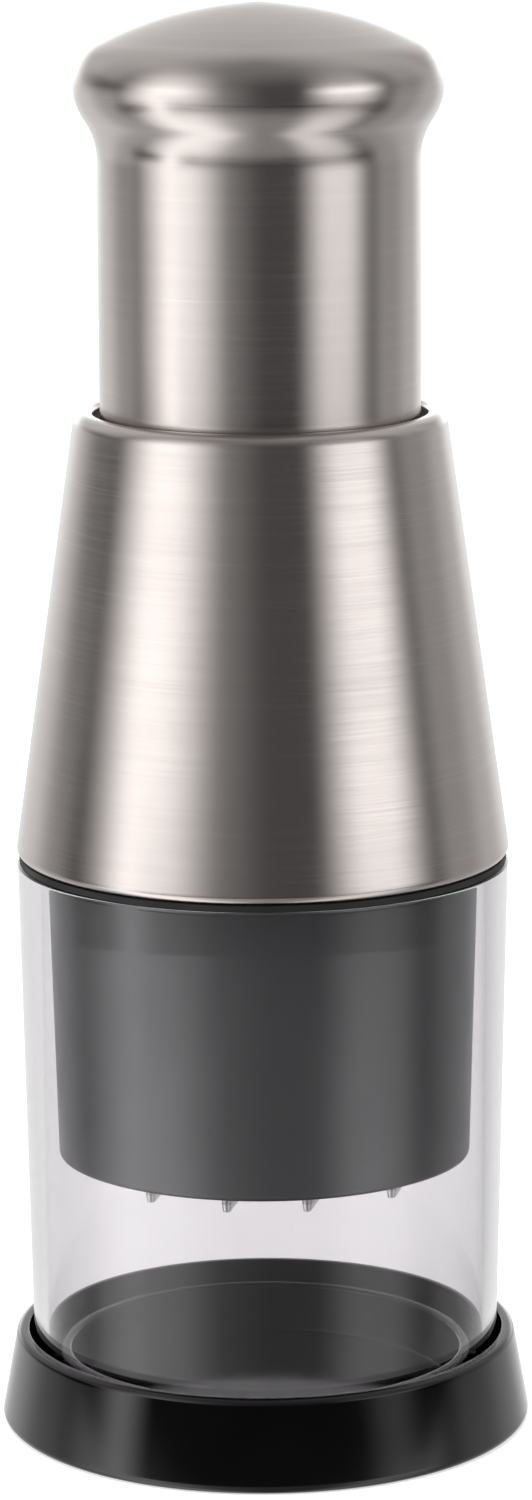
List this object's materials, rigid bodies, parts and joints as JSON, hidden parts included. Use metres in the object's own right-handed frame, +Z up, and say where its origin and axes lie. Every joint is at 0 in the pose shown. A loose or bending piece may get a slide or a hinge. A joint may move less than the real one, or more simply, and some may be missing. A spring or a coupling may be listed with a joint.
{
  "type": "plunger food chopper",
  "caption": "Hand food chopper: a domed sprung plunger in a tapered steel housing drives a folded zig-zag blade, which turns between strokes, down into a clear container on a base cap",
  "frame": {"origin": "centre of the foot ring on which the base cap stands", "axes": "+Z up along the common axis of every round piece"},
  "size_m": [0.085, 0.085, 0.227],
  "materials": {
    "base_gloss_black": "polished moulded ABS",
    "container_clear": "clear moulded SAN",
    "gasket_rubber": "satin",
    "shell_brushed_steel": "brushed round the axis",
    "handle_brushed_steel": "brushed round the axis",
    "housing_black_plastic": "fine matt texture",
    "guard_dark_grey": "satin",
    "guide_white_acetal": "smooth acetal",
    "fastener_steel": "bright",
    "spring_steel": "drawn wire",
    "blade_steel": "ground strip"
  },
  "bodies": {
    "base": {"base_cap": "base_gloss_black"},
    "container": {"container": "container_clear"},
    "housing": {"seam_gasket": "gasket_rubber", "outer_shell": "shell_brushed_steel", "inner_housing": "housing_black_plastic", "guard_cup": "guard_dark_grey", "guide_ring": "guide_white_acetal", "shaft_bush": "guide_white_acetal", "spring_seat_washer": "fastener_steel", "stop_bumper": "gasket_rubber", "return_spring": "spring_steel", "index_ring": "guide_white_acetal", "index_ring_screws": "fastener_steel"},
    "plunger": {"handle_shell": "handle_brushed_steel", "handle_core": "housing_black_plastic", "shaft": "fastener_steel", "shaft_nut": "fastener_steel", "shaft_washer": "fastener_steel", "pusher_crown": "guide_white_acetal", "pusher_pin": "fastener_steel", "retaining_clip": "spring_steel", "thrust_washer": "fastener_steel"},
    "blade_carriage": {"index_hub": "guide_white_acetal", "blade_plate": "guard_dark_grey", "zigzag_blade": "blade_steel", "blade_plate_screws": "fastener_steel"},
    "stripper": {"stripper_disc": "guard_dark_grey"}
  },
  "joints": [
    {"name": "container_lift", "type": "slide", "parent": "base", "child": "container", "axis": [0, 0, 1], "range_m": [0, 0.04]},
    {"name": "housing_lift", "type": "slide", "parent": "container", "child": "housing", "axis": [0, 0, 1], "range_m": [0, 0.07]},
    {"name": "plunger_press", "type": "slide", "parent": "housing", "child": "plunger", "axis": [0, 0, -1], "range_m": [0, 0.037], "stiffness_N_per_m": 500, "springref_m": -0.016, "deforming": ["return_spring"]},
    {"name": "blade_index", "type": "hinge", "parent": "plunger", "child": "blade_carriage", "pos_m": [0, 0, 0.095], "axis": [0, 0, 1], "range_deg": [0, 15]},
    {"name": "stripper_turn", "type": "hinge", "parent": "housing", "child": "stripper", "pos_m": [0, 0, 0.047], "axis": [0, 0, 1], "range_deg": [0, 15]}
  ],
  "couplings": [
    {"joint": "blade_index", "follows": "plunger_press", "rad_per_m": 7.0756},
    {"joint": "stripper_turn", "follows": "plunger_press", "rad_per_m": 7.0756}
  ]
}
